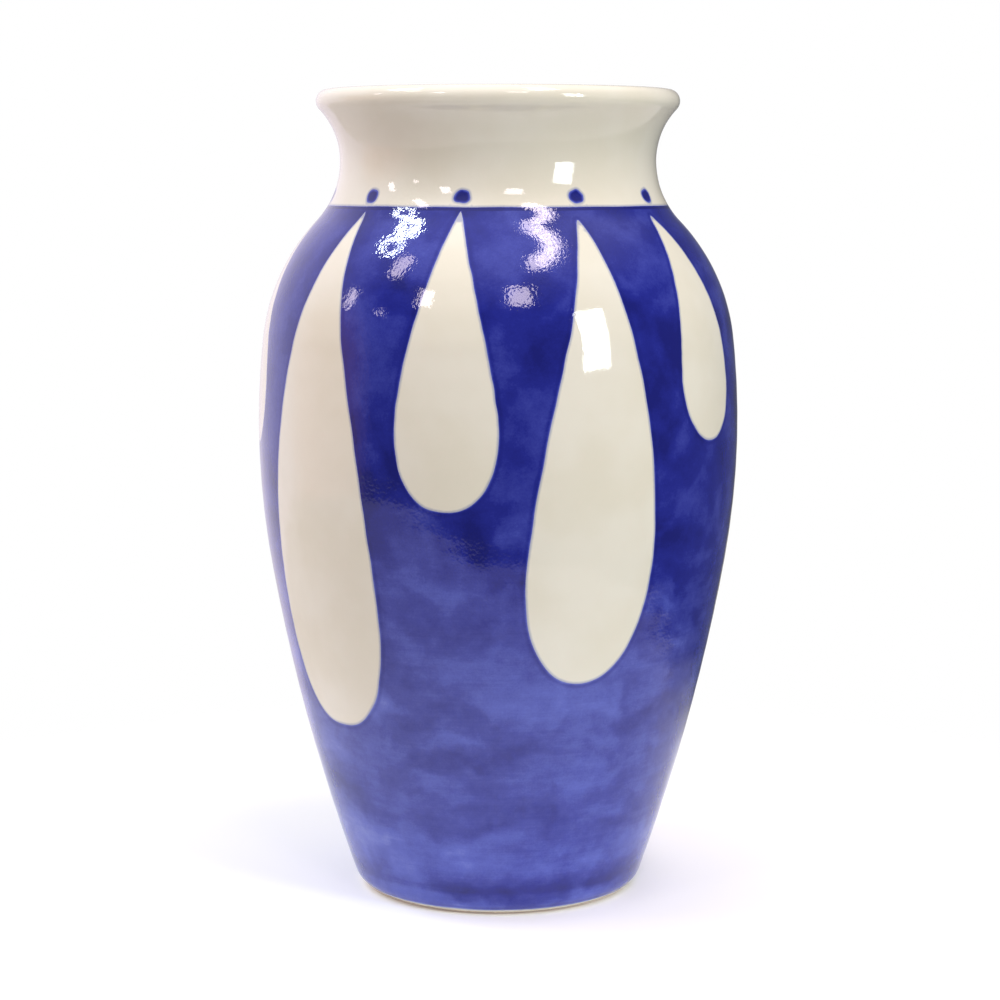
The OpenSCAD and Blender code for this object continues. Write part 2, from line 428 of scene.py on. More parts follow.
def knit(closed, rings, low, high, bands, extra=()):
    """Turns, distances along the skin and triangles. Bands are (from, to, spacing of the net)."""
    flat = lambda p: np.column_stack([p[:, 0] * FLAT_RADIUS, p[:, 1]]) / MM
    edge = lambda s: np.column_stack([ring_turns, 0 * ring_turns + s])
    rings = [edge(low), *rings, edge(high)]
    points, edges = [], []
    for line, is_closed in [(p, True) for p in closed] + [(p, False) for p in rings]:
        first = sum(map(len, points))
        points.append(flat(line))
        count = len(line)
        edges += [(first + k, first + k + 1) for k in range(count - 1)]
        if is_closed:
            edges.append((first + count - 1, first))
    ends = sorted(r[0, 1] for r in rings)
    posts = np.concatenate([np.linspace(a, b, max(2, math.ceil((b - a) / (1.1 * MM)) + 1))[1:-1]
                            for a, b in zip(ends, ends[1:])])
    for side in (SEAM - TURN, SEAM):
        points.append(flat(np.column_stack([0 * posts + side, posts])))
    points += [flat(p) for p in extra]
    fixed = np.vstack(points)
    near = kdtree.KDTree(len(fixed))
    for k, p in enumerate(fixed):
        near.insert((*p, 0), k)
    near.balance()
    net = []
    for start, stop, spacing in bands:
        step = spacing / MM
        rows = max(1, round((stop - start) / spacing / 0.866))
        for j in range(rows):
            height = (start + (stop - start) * (j + 0.5) / rows) / MM
            count = round(TURN * FLAT_RADIUS / spacing)
            left = (SEAM - TURN) * FLAT_RADIUS / MM
            staggered = np.arange(count) + 0.25 + 0.5 * (j % 2)
            across = left + step * staggered * (TURN * FLAT_RADIUS / MM) / (count * step)
            net += [(x, height) for x in across if near.find((x, height, 0))[2] > 0.62 * step]
    everything = np.vstack([fixed, net])
    made = delaunay_2d_cdt([Vector(p) for p in everything], edges, [], 0, 1e-5, False)
    verts = np.array([tuple(v) for v in made[0]])
    turn, along = verts[:, 0] * MM / FLAT_RADIUS, verts[:, 1] * MM
    triangles = np.array(made[2])
    right = np.flatnonzero(turn > SEAM - 1e-6)
    left_side = {round(along[k], 7): k for k in np.flatnonzero(turn < SEAM - TURN + 1e-6)}
    same = np.arange(len(turn))
    for k in right:
        same[k] = left_side[round(along[k], 7)]
    centre = np.column_stack([turn[triangles].mean(1), along[triangles].mean(1)])
    triangles = same[triangles]
    return turn, along, triangles, centre


def inside_path(points, path):
    """True for each point inside a closed path."""
    found = np.zeros(len(points), bool)
    close = np.flatnonzero(((points >= path.min(0)) & (points <= path.max(0))).all(1))
    x, y = points[close, 0][:, None], points[close, 1][:, None]
    x0, y0 = path.T
    x1, y1 = np.roll(path, -1, 0).T
    crosses = (y0 > y) != (y1 > y)
    with np.errstate(divide="ignore", invalid="ignore"):
        at = x0 + (y - y0) * (x1 - x0) / (y1 - y0)
    found[close] = (crosses & (x < at)).sum(1) % 2 == 1
    return found


def above(points, ring):
    return points[:, 1] > np.interp(points[:, 0], ring[:, 0], ring[:, 1])


paint_from, paint_to = along_at(1.5 * MM), along_at(259.5 * MM)
net_spacing = 1.75 * MM
line_middle = [line_bottom + (line_top - line_bottom) * share for share in (0.28, 0.72)]
for row in line_middle:
    row[-1, 1] = row[0, 1]
paint = knit(drops, [wash_edge, line_bottom, line_top], paint_from, paint_to,
             [(paint_from, paint_to, net_spacing)], line_middle)
print("painted skin:", len(paint[0]), "points,", len(paint[2]), "triangles")

# %% Knit the coat of glaze, coarse where paint hides it
under_from, under_to = wash_edge[:, 1].min() + 2 * MM, line_bottom[:, 1].max() - 2 * MM
coat_from, coat_to = along_at(bare_foot), skin_length
halo = []
for path in dots:
    middle = path.mean(0)
    halo += [middle + (path - middle) * k for k in (0.3, 0.62, 0.86, 1.16, 1.4)]
coat_bands = [
    (coat_from, under_from, 0.9 * MM),
    (under_from, under_to, 5 * MM),
    (under_to, coat_to, 1.15 * MM),
]
coat = knit(dots, [wash_edge, line_top], coat_from, coat_to, coat_bands, halo)
print("coat of glaze:", len(coat[0]), "points,", len(coat[2]), "triangles")

# %% [markdown]
# ## Turning triangles into thin closed solids
#
# Each mark is a real layer of paint or glaze, a quarter of a millimetre deep, so it becomes a
# closed solid: the triangles on the skin, the same ones deeper down, and a wall round the edge. A
# Solidify modifier could do it, but the coat needs two depths at once, with hollows for the paint.
# The normals come from the formula of the skin, so light runs smoothly from one piece to the next.

# %% Make a mesh from arrays
def make_piece(name, points, triangles, corner_normals=None):
    mesh = bpy.data.meshes.new(name)
    mesh.vertices.add(len(points))
    mesh.vertices.foreach_set("co", np.asarray(points, np.float32).ravel())
    mesh.loops.add(triangles.size)
    mesh.loops.foreach_set("vertex_index", triangles.astype(np.int32).ravel())
    mesh.polygons.add(len(triangles))
    mesh.polygons.foreach_set("loop_start", np.arange(0, triangles.size, 3, dtype=np.int32))
    mesh.update(calc_edges=True)
    mesh.shade_smooth()
    if corner_normals is not None:
        mesh.normals_split_custom_set(corner_normals.reshape(-1, 3).tolist())
    piece = bpy.data.objects.new(name, mesh)
    scene.collection.objects.link(piece)
    return piece


def faces_out(points, triangles):
    a, b, c = (points[triangles[:, k]] for k in range(3))
    return unit(np.cross(b - a, c - a))


def layer(name, skin, chosen, depths, bottom):
    """A closed solid of the chosen triangles. depths gives how deep each lies; bottom is below all."""
    turn, along, triangles, _ = skin
    tris, tops = triangles[chosen], np.broadcast_to(depths, len(triangles))[chosen]
    levels = np.unique(np.concatenate([tops, [bottom]]))
    top_level = np.searchsorted(levels, tops)
    base = len(levels) - 1
    code = lambda v, level: v * len(levels) + level
    faces = [code(tris, top_level[:, None]), code(tris[:, ::-1], base)]
    start, end = tris[:, [0, 1, 2]].ravel(), tris[:, [1, 2, 0]].ravel()
    owner = np.repeat(top_level, 3)
    key = np.minimum(start, end) * np.int64(len(turn)) + np.maximum(start, end)
    order = np.argsort(key, kind="stable")
    pair = np.flatnonzero(key[order][1:] == key[order][:-1])
    other = np.full(len(key), base)
    other[order[pair]], other[order[pair + 1]] = owner[order[pair + 1]], owner[order[pair]]
    steps = np.flatnonzero(owner < other)
    a, b, hi, lo = start[steps], end[steps], owner[steps], other[steps]
    faces.append(np.column_stack([code(b, hi), code(a, hi), code(a, lo)]))
    faces.append(np.column_stack([code(b, hi), code(a, lo), code(b, lo)]))
    used, faces = np.unique(np.vstack(faces), return_inverse=True)
    faces = faces.reshape(-1, 3)
    which, depth = used // len(levels), levels[used % len(levels)]
    points = on_skin(turn[which], along[which], depth)
    normals = np.repeat(faces_out(points, faces)[:, None], 3, 1)
    smooth = skin_normal(turn[which], along[which])
    normals[: len(tris)] = smooth[faces[: len(tris)]]
    normals[len(tris) : 2 * len(tris)] = -smooth[faces[len(tris) : 2 * len(tris)]]
    piece = make_piece(name, points, faces, normals)
    return piece, turn[which], along[which]


def give(piece, name, values):
    """Stores a number on each point, for the glaze recipes to read."""
    stored = piece.data.attributes.new(name, "FLOAT", "POINT")
    stored.data.foreach_set("value", np.asarray(values, np.float32))


def edge_finder(paths):
    """A tree of the points on painted edges, to tell how far any place is from one."""
    points = np.vstack([on_skin(p[:, 0], p[:, 1]) for p in paths])
    tree = kdtree.KDTree(len(points))
    for k, p in enumerate(points):
        tree.insert(p, k)
    tree.balance()
    return tree


def edge_distance(tree, turn, along):
    """Millimetres from each place to the nearest painted edge."""
    return np.array([tree.find(p)[2] for p in on_skin(turn, along)]) / MM


# %% Sort the painted triangles into their marks
centres = paint[3]
in_drop = [inside_path(centres, path) for path in drops]
in_line = above(centres, line_bottom) & ~above(centres, line_top)
in_wash = above(centres, wash_edge) & ~above(centres, line_bottom) & ~np.any(in_drop, 0)
print("wash", in_wash.sum(), "line", in_line.sum(), "drops", [int(d.sum()) for d in in_drop])

# %% [markdown]
# ## Brushwork
#
# A wash is water with a little cobalt in it. Each dab of a wide soft brush lays down a patch, and
# where dabs overlap the blue doubles. That could be faked with cloud noise alone, but cloud noise
# has no dab edges. So the painting is done again here, stroke by stroke, on a grid over the
# unrolled skin: short cloudy dabs between the teardrops, and long level strokes lower down, laid
# thinner. The amount of pigment is then stored on the points of the mesh.

# %% Lay down the dabs
grid_turns = np.linspace(SEAM - TURN, SEAM, 720, endpoint=False)
grid_alongs = np.linspace(paint_from, paint_to, 400)
grid_radius, grid_height, _, _ = read(outside, grid_alongs)
pigment = np.zeros((len(grid_alongs), len(grid_turns)))


def soft_step(value, low, high):
    share = np.clip((value - low) / (high - low), 0, 1)
    return share * share * (3 - 2 * share)


def dab(turn, along, length, width, tilt, load, softness):
    """One touch of the brush: a patch with soft long sides, crisper ends and a wet rim."""
    rows = np.abs(grid_alongs - along) < length + width
    across = ((grid_turns - turn + math.pi) % TURN - math.pi)[None] * grid_radius[rows][:, None]
    up = (grid_alongs[rows] - along)[:, None]
    x = (across * math.cos(tilt) + up * math.sin(tilt)) / (length / 2)
    y = (up * math.cos(tilt) - across * math.sin(tilt)) / (width / 2)
    inside = np.minimum(1 - np.abs(x), (1 - np.abs(y)) * width / length)
    depth = inside * length / 2
    body = soft_step(depth, 0, softness)
    rim = body * (1 - soft_step(depth, softness, 3.2 * softness))
    pigment[rows] += load * (body * (1 - 0.12 * x) + 0.22 * rim)


dab_count = 1500
for _ in range(dab_count):
    along = brush_rng.uniform(paint_from, paint_to)
    height = np.interp(along, grid_alongs, grid_height)
    high = soft_step(height, 95 * MM, 165 * MM)
    length = brush_rng.uniform(22, 60) * (1 - 0.5 * high) * MM
    width = brush_rng.uniform(9, 19) * MM
    tilt = brush_rng.normal(0, 0.3 + 0.6 * high)
    load = brush_rng.uniform(0.25, 1.0)
    softness = brush_rng.uniform(1.3, 4.0) * (1 + 1.2 * high) * MM
    dab(brush_rng.uniform(0, TURN), along, length, width, tilt, load, softness)
rows_mean = np.convolve(np.pad(pigment.mean(1), 12, "edge"), np.ones(25) / 25, "valid")
pigment /= rows_mean[:, None]
print("pigment from", round(pigment.min(), 2), "to", round(pigment.max(), 2), "times the mean")

# %% How thickly each height was painted, and the pooled ring
# The cobalt is strongest between the drops and thins towards the foot. Where the brush turned
# round the foot it pooled in a dark ring, with a paler belt just above it. Each pair is a height
# in millimetres and the share of pigment there.
THICKNESS = [(0, 0.54), (5, 0.6), (8.6, 0.7), (10.4, 1.05), (12, 0.84), (14, 0.72), (18, 0.56), (26, 0.54),
             (34, 0.7), (60, 0.78), (85, 0.72), (105, 0.86), (150, 0.99), (200, 1.0), (235, 0.96), (258, 0.9)]
thickness_heights, thickness_levels = np.array(THICKNESS).T


def pigment_at(turn, along):
    """Pigment at each place, between the four nearest points of the grid. The wet paint crept a few
    millimetres, which bends the outlines of the dabs."""
    height = np.interp(along, outside[:, 0], outside[:, 2])
    strength = np.interp(height, thickness_heights * MM, thickness_levels)
    patchy = 0.4 - 0.22 * soft_step(height, 110 * MM, 180 * MM)
    crept = 2.0 * MM * np.sin(9 * turn + 90 * along) + 1.0 * MM * np.sin(23 * turn - 170 * along + 1.9)
    turn = turn + crept / FLAT_RADIUS
    sagged = 1.8 * MM * np.sin(11 * turn - 75 * along + 0.6)
    trembled = 0.7 * MM * np.sin(29 * turn + 160 * along)
    along = along + sagged + trembled
    column = ((turn - grid_turns[0]) % TURN) / TURN * len(grid_turns)
    row = np.clip((along - paint_from) / (paint_to - paint_from), 0, 1) * (len(grid_alongs) - 1.001)
    i, j = row.astype(int), column.astype(int) % len(grid_turns)
    fi, fj = row - i, column - np.floor(column)
    k = (j + 1) % len(grid_turns)
    low = pigment[i, j] * (1 - fj) + pigment[i, k] * fj
    high = pigment[i + 1, j] * (1 - fj) + pigment[i + 1, k] * fj
    return strength * (1 + patchy * (low * (1 - fi) + high * fi - 1))


# %% [markdown]
# ## The pieces
#
# Each piece stands for one CAD node, is named for what it is, mostly with that node's name, rides on the one
# body and names its finish.

# %% Helpers that finish a piece
pieces = {}


def stand_for(piece, node, slot):
    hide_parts(node)
    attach(piece, "root")
    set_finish(piece, slot)
    pieces[piece.name] = piece


# %% Paint: the wash, the line and the ten teardrops
paint_edges = edge_finder([*drops, wash_edge])
wash, wash_turn, wash_along = layer("cobalt_wash_brushed", paint, in_wash, 0.0, paint_depth)
give(wash, "pigment", pigment_at(wash_turn, wash_along))
give(wash, "edge", edge_distance(paint_edges, wash_turn, wash_along))
stand_for(wash, "cobalt_wash", "cobalt_wash")

line_edges = edge_finder([line_top])
line, line_turn, line_along = layer("shoulder_line_brushed", paint, in_line, 0.0, paint_depth)
give(line, "pigment", 0.3 + pigment_at(line_turn, line_along))
give(line, "edge", 1.6 * edge_distance(line_edges, line_turn, line_along))
stand_for(line, "shoulder_line", "dark_cobalt")

for i, node in enumerate(drop_nodes):
    drop, drop_turn, drop_along = layer(node + "_reserved", paint, in_drop[i], 0.0, paint_depth)
    give(drop, "edge", edge_distance(paint_edges, drop_turn, drop_along))
    stand_for(drop, node, "teardrop_ivory")
print("wash faces:", len(wash.data.polygons), "a long drop:", len(drop.data.polygons))

# %% Glaze: the dots and the ivory coat around them
centres = coat[3]
in_dot = [inside_path(centres, path) for path in dots]
painted = np.any(in_dot, 0) | (above(centres, wash_edge) & ~above(centres, line_top))
coat_edges = edge_finder([*dots, wash_edge, line_top])
ivory, ivory_turn, ivory_along = layer(
    "ivory_coat", coat, np.ones(len(centres), bool), np.where(painted, paint_depth, 0.0), glaze)
give(ivory, "edge", edge_distance(coat_edges, ivory_turn, ivory_along))
stand_for(ivory, "outer_glaze", "ivory_glaze")
for i, node in enumerate(dot_nodes):
    dot, dot_turn, dot_along = layer(node + "_brushed", coat, in_dot[i], 0.0, paint_depth)
    give(dot, "edge", 0.6 * edge_distance(coat_edges, dot_turn, dot_along))
    give(dot, "pigment", 1.0 + 0 * dot_turn)
    stand_for(dot, node, "dark_cobalt")
print("ivory coat faces:", len(ivory.data.polygons), "a dot:", len(dot.data.polygons))

# %% [markdown]
# ## Clay and lining
#
# The clay shows only under the foot, where the glaze was wiped off so that the vase would not
# stick to the kiln shelf. A potter trims that foot upside down on the wheel, which leaves fine
# grooves. The lining shows down the mouth, with the soft rings of the potter's fingers under it.
# Both are turned from a closed line of points, with the grooves as real shape.

# %% Turn a closed line into a solid
def turned(name, line, count, stray):
    """Revolves points of radius and height that begin and end on the axis, going anticlockwise."""
    turns = TURN * np.arange(count) / count
    body = line[1:-1]
    turn, where = np.meshgrid(turns, np.arange(len(body)))
    rim = body[where.ravel()] + stray(turn.ravel(), body[where.ravel()])
    points = place(turn.ravel(), rim[:, 0], rim[:, 1])
    ends = [place(np.zeros(1), line[k, :1], line[k, 1:]) for k in (0, -1)]
    points = np.vstack([points, *ends])
    column = np.arange(count)
    after = (column + 1) % count
    faces = []
    for row in range(len(body) - 1):
        a, b = row * count + column, row * count + after
        faces += [np.column_stack([a, b, b + count]), np.column_stack([a, b + count, a + count])]
    last = (len(body) - 1) * count
    faces.append(np.column_stack([0 * column + len(points) - 2, after, column]))
    faces.append(np.column_stack([0 * column + len(points) - 1, last + column, last + after]))
    return make_piece(name, points, np.vstack(faces))


def thin(line, spacing):
    """Points of a tabled line at a wider spacing, as radius and height."""
    count = max(2, round(line[-1, 0] / spacing))
    at = np.linspace(0, line[-1, 0], count + 1)
    return np.column_stack(read(line, at)[:2])


# %% Clay body
foot_line = outside[outside[:, 2] < bare_foot]
foot_rows = np.column_stack(read(outside, np.linspace(0, foot_line[-1, 0], 12))[:2])
radius, height, out, up = read(outside, np.linspace(foot_line[-1, 0] + 0.05 * MM, skin_length, 150))
under_coat = np.column_stack([radius - glaze * out, height - glaze * up])
recess = foot_centre[0] - ring_width
recess_round = 1.2 * MM
recess_rows = np.linspace(0, recess - recess_round, 70)
wide_grooves = 0.045 * MM * np.sin(TURN * recess_rows / (2.3 * MM))
fine_grooves = 0.02 * MM * np.sin(TURN * recess_rows / (0.9 * MM))
corner = np.linspace(0, math.pi / 2, 7)
corner_out = recess - recess_round * (1 - np.sin(corner))
corner_up = recess_depth - recess_round * (1 - np.cos(corner))
ring_rows = np.column_stack([np.linspace(recess, foot_centre[0] - 0.2 * MM, 9), np.zeros(9)])
ring_rows[1:-1, 1] += 0.012 * MM * (1 + np.sin(np.arange(7) * 2.4))
clay_line = np.vstack([
    np.column_stack([recess_rows, recess_depth + (wide_grooves + fine_grooves)]),
    np.column_stack([corner_out, corner_up])[1:],
    ring_rows,
    foot_rows,
    under_coat,
    thin(bedding_line, 3 * MM)[::-1][1:],
])


def scrape(turn, rows):
    """The trimming tool runs in a spiral and skips a little."""
    low = rows[:, 1] < recess_depth + 0.2 * MM
    skip = 0.02 * MM * np.sin(9 * turn + rows[:, 0] * 900) * (low & (rows[:, 0] < recess))
    return np.column_stack([0 * turn, skip])


clay = turned("clay_body_turned", clay_line, 220, scrape)
stand_for(clay, "clay_body", "fired_clay")
print("clay faces:", len(clay.data.polygons))

# %% Lining
def finger_rings(turn, rows):
    """The potter's fingers climb in a spiral, leaving soft ridges inside the wall."""
    off_floor = soft_step(rows[:, 1], floor_height + 2 * MM, 40 * MM)
    under_lip = 1 - soft_step(rows[:, 1], 268 * MM, 292 * MM)
    ridge = (np.sin(TURN * rows[:, 1] / (8.5 * MM) - turn) - 1) * 0.11 * MM * (off_floor * under_lip)
    on_floor = (rows[:, 1] < floor_height + 2 * MM) * np.clip(rows[:, 0] / (6 * MM), 0, 1)
    swirl = (np.sin(TURN * rows[:, 0] / (9 * MM) - turn) + 1) * 0.1 * MM * on_floor
    return np.column_stack([ridge, swirl])


bedding_rows = thin(bedding_line, 4 * MM)
lining_ring = np.vstack([bedding_rows, thin(lining_line, 1.5 * MM)[::-1][1:]])


def lining_stray(turn, rows):
    """Finger rings on the glazed side only."""
    count = len(turn) // (len(lining_ring) - 2)
    row = np.arange(len(turn)) // count
    return finger_rings(turn, rows) * (row >= len(bedding_rows))[:, None]


lining = turned("lining_glaze_poured", lining_ring, 300, lining_stray)
stand_for(lining, "inner_glaze", "lining_glaze")
print("lining faces:", len(lining.data.polygons))

# %% Sharp corners of the turned pieces stay sharp
for piece in (clay, lining):
    piece.data.set_sharp_from_angle(angle=math.radians(35))

# %% [markdown]
# ## A small language for recipes
#
# Glaze recipes are sums of masks and noises, a thicket as nodes but easy to read as arithmetic.
# One class holds a socket, and adding or multiplying it makes the Math node. Every other node
# comes from one method.

# %% Sockets that can be reckoned with
class Wire:
    """The output of a node. Arithmetic on it adds Math nodes."""

    def __init__(self, recipe, socket):
        self.recipe, self.socket = recipe, socket

    def maths(self, operation, first, second):
        return self.recipe.node("ShaderNodeMath", {0: first, 1: second}, operation=operation)

    def __add__(self, other):
        return self.maths("ADD", self, other)

    def __radd__(self, other):
        return self.maths("ADD", other, self)

    def __sub__(self, other):
        return self.maths("SUBTRACT", self, other)

    def __rsub__(self, other):
        return self.maths("SUBTRACT", other, self)

    def __mul__(self, other):
        return self.maths("MULTIPLY", self, other)

    def __rmul__(self, other):
        return self.maths("MULTIPLY", other, self)


class Recipe:
    """The nodes of one material or world."""

    def __init__(self, owner):
        owner.use_nodes = True
        self.tree = owner.node_tree
        self.tree.nodes.clear()

    def node(self, kind, inputs, out=0, **settings):
        """Adds a node: its settings first, then the values or wires of its sockets."""
        made = self.tree.nodes.new(kind)
        for name, value in settings.items():
            if name == "stops":
                ramp = made.color_ramp.elements
                while len(ramp) < len(value):
                    ramp.new(0.5)
                for element, stop in zip(ramp, value):
                    element.position, element.color = stop
            else:
                setattr(made, name, value)
        for name, value in inputs.items():
            if isinstance(value, Wire):
                self.tree.links.new(value.socket, made.inputs[name])
            else:
                made.inputs[name].default_value = value
        return Wire(self, made.outputs[out]) if made.outputs else None

    def noise(self, place, scale, detail=2.0, roughness=0.5, warp=0.0):
        return self.node("ShaderNodeTexNoise", {
            "Vector": place, "Scale": scale, "Detail": detail, "Roughness": roughness, "Distortion": warp})

    def smooth(self, value, low, high):
        """0 below low, 1 above high, and a soft step between them."""
        span = {"Value": value, "From Min": low, "From Max": high}
        return self.node("ShaderNodeMapRange", span, interpolation_type="SMOOTHSTEP")

    def mix(self, share, first, second, blend="MIX"):
        colours = {0: share, 6: first, 7: second}
        return self.node("ShaderNodeMix", colours, 2, data_type="RGBA", blend_type=blend)

    def stretched(self, scale):
        """Object coordinates, drawn out by a scale in X, Y and Z."""
        place = self.node("ShaderNodeTexCoord", {}, 3)
        return self.node("ShaderNodeVectorMath", {0: place, 1: scale}, operation="MULTIPLY")

    def stored(self, name):
        """A number stored on the points, by name."""
        return self.node("ShaderNodeAttribute", {}, 2, attribute_name=name)


def new_material(name):
    material = bpy.data.materials.new(name)
    return material, Recipe(material)


def colour(red, green, blue):
    """A colour as seen on a screen, from 0 to 255, turned into light, and opaque."""
    light = [((v / 255 + 0.055) / 1.055) ** 2.4 for v in (red, green, blue)]
    return (*light, 1.0)


print("ivory as light:", [round(v, 3) for v in colour(230, 226, 211)[:3]])

# %% [markdown]
# ## Glaze
#
# A glaze is glass, so it shines like glass and not like metal: about a twenty-fifth of the light
# comes straight back, more at a slant. What makes it look fired rather than plastic is its skin.
# It is never flat: a fine ripple about a millimetre long breaks the edges of every reflection
# into squiggles, over slower swells. The ripple is far too fine to model, so it is a bump.

# %% The ripple, and the glassy surface over any colour
GLASS_IOR = 1.52


def ripple(recipe, grain, fine, slow):
    """A bumped normal. Heights in metres of the millimetre grain, the ripple and the swells."""
    upright = recipe.stretched((1, 1, 0.8))
    grain_noise = recipe.noise(upright, 1000, 1.0, 0.5)
    fine_noise = recipe.noise(upright, 420, 1.0, 0.45)
    slow_noise = recipe.noise(upright, 120, 1.0, 0.5)
    height = grain_noise * grain + fine_noise * fine + slow_noise * slow
    return recipe.node("ShaderNodeBump", {"Strength": 1.0, "Distance": 1.0, "Height": height})


def glassy(recipe, base, roughness, normal):
    shader = recipe.node("ShaderNodeBsdfPrincipled", {
        "Base Color": base, "Roughness": roughness, "IOR": GLASS_IOR, "Normal": normal})
    recipe.node("ShaderNodeOutputMaterial", {"Surface": shader})


# %% Ivory: on the coat, the teardrops and the lining
IVORY = colour(230, 226, 211)
IVORY_DEEP = colour(225, 220, 202)
IVORY_THIN = colour(231, 222, 207)
BLUE_BLEED = colour(120, 140, 214)


def ivory_recipe(name, bleed, edge_reach=1.15):
    """Ivory glaze. bleed is how strongly cobalt has crept in from painted edges."""
    material, recipe = new_material(name)
    here = recipe.stretched((1, 1, 1))
    cloud = recipe.noise(here, 26, 3, 0.55)
    curdle = recipe.noise(here, 420, 2, 0.6)
    base = recipe.mix(recipe.smooth(cloud, 0.36, 0.66), IVORY, IVORY_DEEP)
    base = recipe.mix(recipe.smooth(curdle, 0.5, 0.8) * 0.28, base, IVORY_THIN)
    speck = recipe.node("ShaderNodeTexVoronoi", {"Vector": here, "Scale": 95})
    rare = recipe.smooth(recipe.noise(here, 34, 0), 0.66, 0.7)
    base = recipe.mix((1 - recipe.smooth(speck, 0.02, 0.05)) * rare * 0.55, base, colour(120, 96, 70))
    if bleed:
        creep = recipe.noise(here, 620, 2, 0.5)
        near = 1 - recipe.smooth(recipe.stored("edge") + (creep - 0.5) * 0.3, 0.0, edge_reach)
        base = recipe.mix(near * bleed, base, BLUE_BLEED, "MULTIPLY")
    roughness = 0.045 + recipe.smooth(cloud, 0.3, 0.7) * 0.02
    glassy(recipe, base, roughness, ripple(recipe, 0.000008, 0.000016, 0.00005))
    return material


coat_ivory = ivory_recipe("Ivory_glaze", 0.62)
drop_ivory = ivory_recipe("Ivory_glaze_in_the_drops", 0.6)
lining_ivory = ivory_recipe("Ivory_lining", 0.0)
print("ivory glaze:", len(coat_ivory.node_tree.nodes), "nodes")

# %% [markdown]
# ## Cobalt
#
# Cobalt stains the glaze as ink stains water: a thin wash is a milky mid blue, and each further
# coat takes it towards a deep blue that is nearly black. So the recipe reckons how much pigment
# lies there and reads the colour off one ramp. The pigment is the brushwork stored on the mesh,
# torn by level bristle streaks, mostly near the foot, and by cloudy blotches all over. At the
# edges of the marks the paint thins out within half a millimetre, which leaves the bright thin
# blue outline seen round each teardrop.

# %% The cobalt ramp
COBALT = [
    (0.00, colour(203, 206, 214)),
    (0.14, colour(122, 136, 208)),
    (0.34, colour(80, 92, 184)),
    (0.52, colour(54, 62, 156)),
    (0.70, colour(31, 38, 136)),
    (0.86, colour(26, 32, 125)),
    (1.00, colour(21, 26, 112)),
]


def cobalt_recipe(name, thick, thin_edge, edge_width):
    """thick scales the pigment; thin_edge is what is left of it right at an edge."""
    material, recipe = new_material(name)
    here = recipe.stretched((1, 1, 1))
    height = recipe.node("ShaderNodeSeparateXYZ", {"Vector": here}, 2)
    low_down = 1 - recipe.smooth(height, 0.1, 0.19)
    streaks = recipe.noise(recipe.stretched((10, 10, 190)), 3.4, 4, 0.62, 0.3)
    fine_streaks = recipe.noise(recipe.stretched((16, 16, 620)), 3.0, 3, 0.6, 0.2)
    cloud = recipe.noise(recipe.stretched((1, 1, 1.5)), 52, 4, 0.6, 0.2)
    fine_cloud = recipe.noise(recipe.stretched((1, 1, 1.2)), 240, 4, 0.65)
    grain = recipe.noise(here, 1500, 2, 0.6)
    torn = (streaks - 0.5) * (low_down * 0.14 + 0.03) + (fine_streaks - 0.5) * (low_down * 0.14 + 0.03)
    blotched = (cloud - 0.5) * (0.3 + low_down * 0.3) + (fine_cloud - 0.5) * 0.44 + (grain - 0.5) * 0.26
    worn_edge = recipe.noise(here, 520, 2, 0.5)
    edge = recipe.stored("edge") + (worn_edge - 0.5) * 0.35
    rim = recipe.smooth(edge, 0.0, edge_width)
    outline = recipe.smooth(edge, 0.35, 0.9) * (1 - recipe.smooth(edge, 0.9, 2.4))
    amount = recipe.stored("pigment") * thick * (1 + torn + blotched) + outline * 0.15
    amount = amount * (thin_edge + rim * (1 - thin_edge))
    base = recipe.node("ShaderNodeValToRGB", {"Fac": amount * 0.72}, stops=COBALT)
    roughness = 0.05 + recipe.smooth(cloud, 0.3, 0.7) * 0.025
    glassy(recipe, base, roughness, ripple(recipe, 0.00004, 0.000016, 0.00004))
    return material


wash_cobalt = cobalt_recipe("Cobalt_wash", 1.0, 0.55, 0.5)
dark_cobalt = cobalt_recipe("Cobalt_brushed_dark", 1.2, 0.34, 0.7)
print("cobalt:", len(wash_cobalt.node_tree.nodes), "nodes")

# %% [markdown]
# ## Fired clay
#
# Low-fired clay is porous and dull, and full of fine sand. Trimming drags the sand round in
# circles, and the bare ring is rubbed paler where the vase has stood.

# %% Clay recipe
clay_finish, recipe = new_material("Fired_clay")
here = recipe.stretched((1, 1, 1))
grit = recipe.noise(here, 900, 6, 0.7)
patch = recipe.noise(here, 60, 3, 0.55)
sand = recipe.node("ShaderNodeTexVoronoi", {"Vector": here, "Scale": 700})
base = recipe.mix(recipe.smooth(patch, 0.35, 0.65), colour(206, 170, 136), colour(188, 146, 112))
base = recipe.mix(recipe.smooth(grit, 0.45, 0.75) * 0.5, base, colour(222, 194, 164))
base = recipe.mix((1 - recipe.smooth(sand, 0.1, 0.3)) * 0.45, base, colour(150, 104, 74))
rough_skin = recipe.node("ShaderNodeBump", {
    "Strength": 1.0, "Distance": 1.0, "Height": grit * 0.00006 + recipe.smooth(sand, 0.0, 0.4) * 0.00003})
shader = recipe.node("ShaderNodeBsdfPrincipled", {
    "Base Color": base, "Roughness": 0.72 + (grit - 0.5) * 0.2, "Normal": rough_skin})
recipe.node("ShaderNodeOutputMaterial", {"Surface": shader})
print("clay:", len(recipe.tree.nodes), "nodes")

# %% Every piece gets its finish
finish_of = {"fired_clay": clay_finish, "lining_glaze": lining_ivory, "ivory_glaze": coat_ivory,
             "teardrop_ivory": drop_ivory, "cobalt_wash": wash_cobalt, "dark_cobalt": dark_cobalt}
for piece in pieces.values():
    piece.data.materials.append(finish_of[piece["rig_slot"]])
print(len(pieces), "pieces finished")

